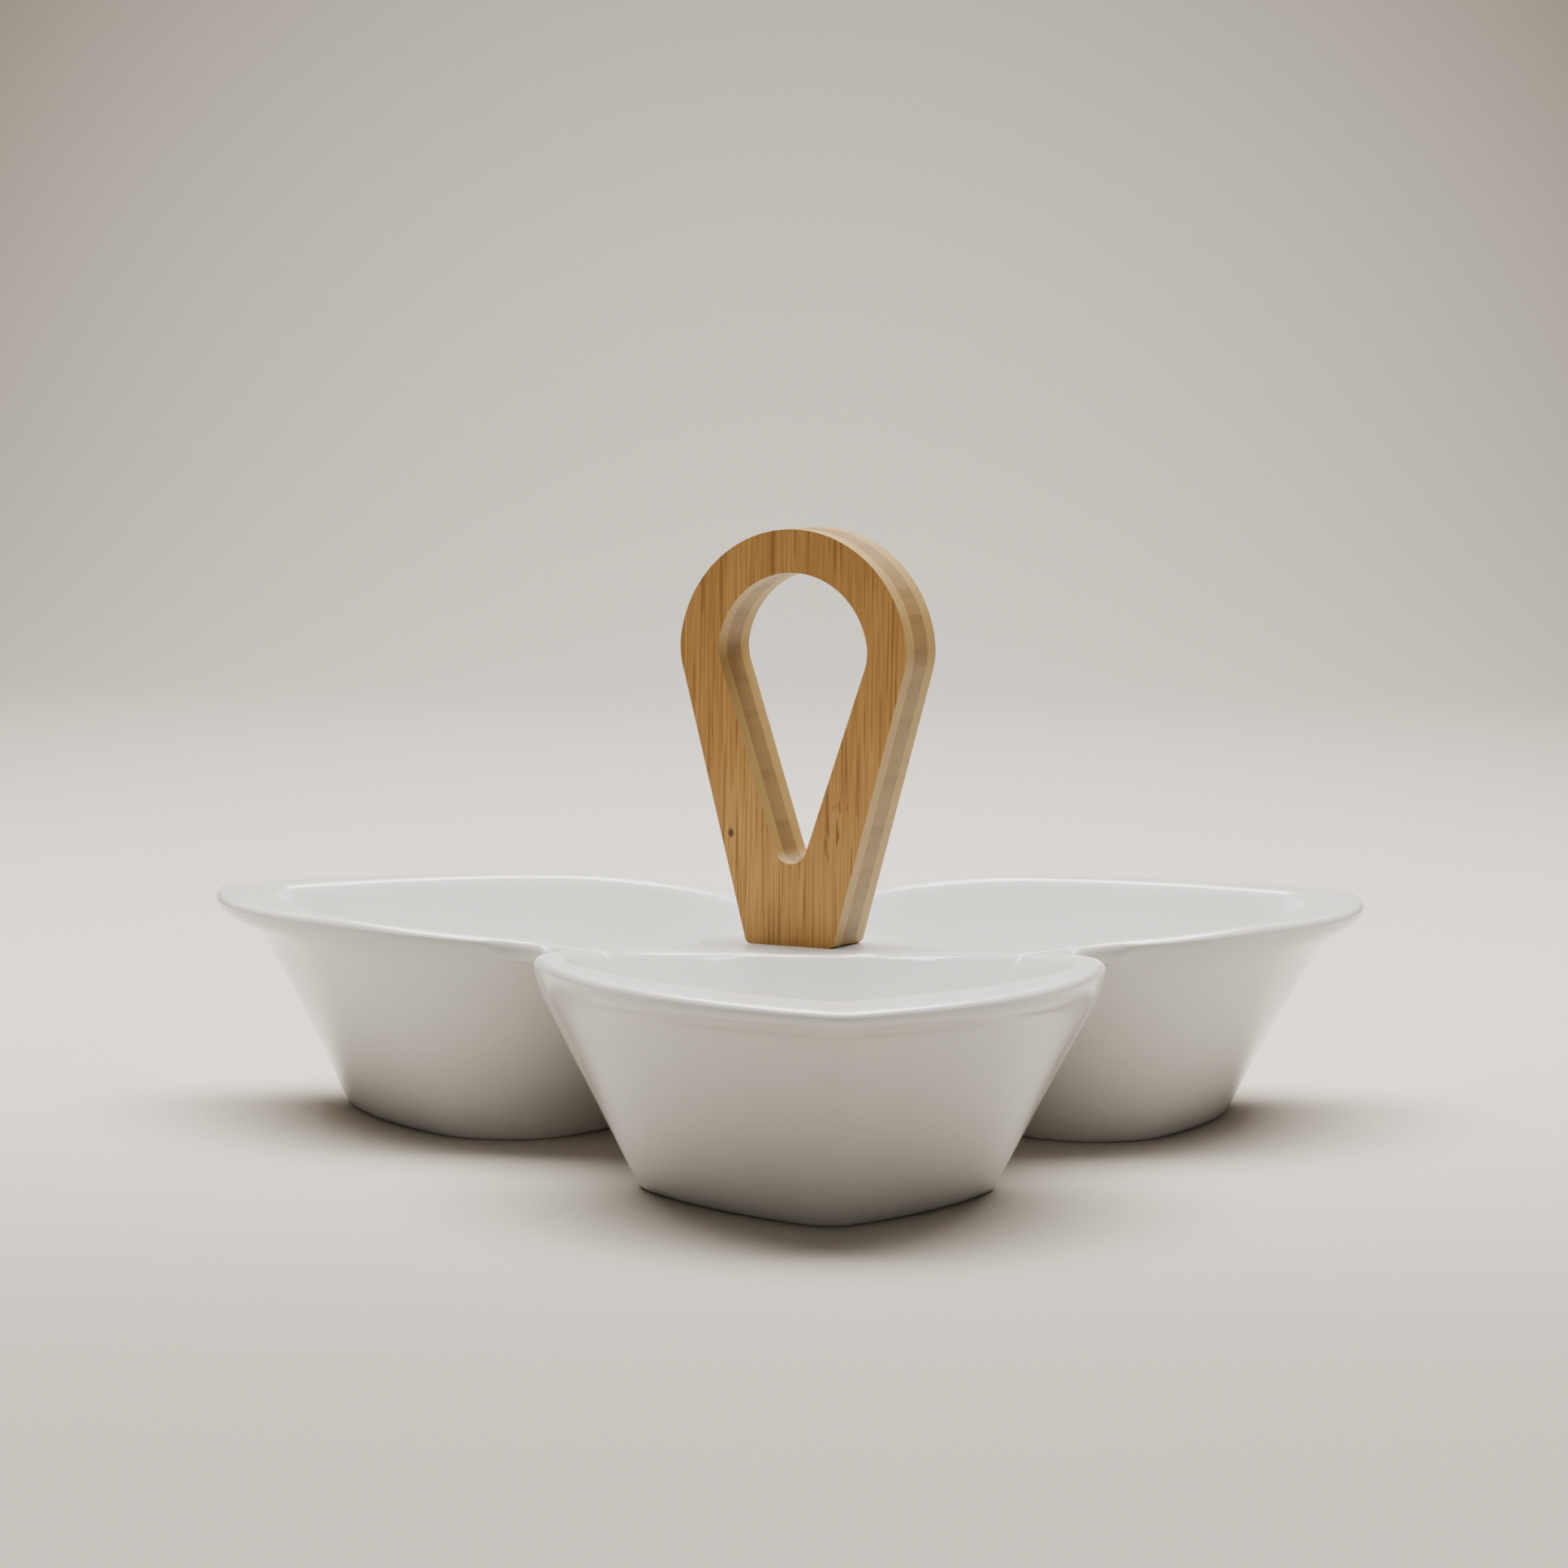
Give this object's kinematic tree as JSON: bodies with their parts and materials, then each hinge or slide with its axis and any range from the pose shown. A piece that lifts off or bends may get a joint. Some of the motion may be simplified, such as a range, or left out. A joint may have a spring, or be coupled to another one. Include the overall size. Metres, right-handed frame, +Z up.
{
  "type": "chip and dip server",
  "caption": "Glazed ceramic serving dish of pointed bowls round a flat centre, with a bamboo loop handle screwed to it for carrying.",
  "frame": {"origin": "on the dish's vertical axis, at the height of the table it stands on", "axes": "+Z up; +X and -X along the width of the handle, with one bowl pointing along -X; the handle's front faces -Y"},
  "size_m": [0.226, 0.242, 0.1236],
  "materials": {
    "glaze": "glossy white glaze",
    "bamboo_face": "satin oiled bamboo, strips upright",
    "bamboo_core": "satin bamboo, strips end on",
    "brass": "turned",
    "steel": "zinc plated",
    "rubber": "translucent silicone"
  },
  "bodies": {
    "root": {"dish": "glaze", "handle_front_ply": "bamboo_face", "handle_core_ply": "bamboo_core", "handle_rear_ply": "bamboo_face", "handle_insert": "brass", "handle_screw": "steel", "screw_washer": "steel", "cushion_washer": "rubber"}
  },
  "joints": []
}
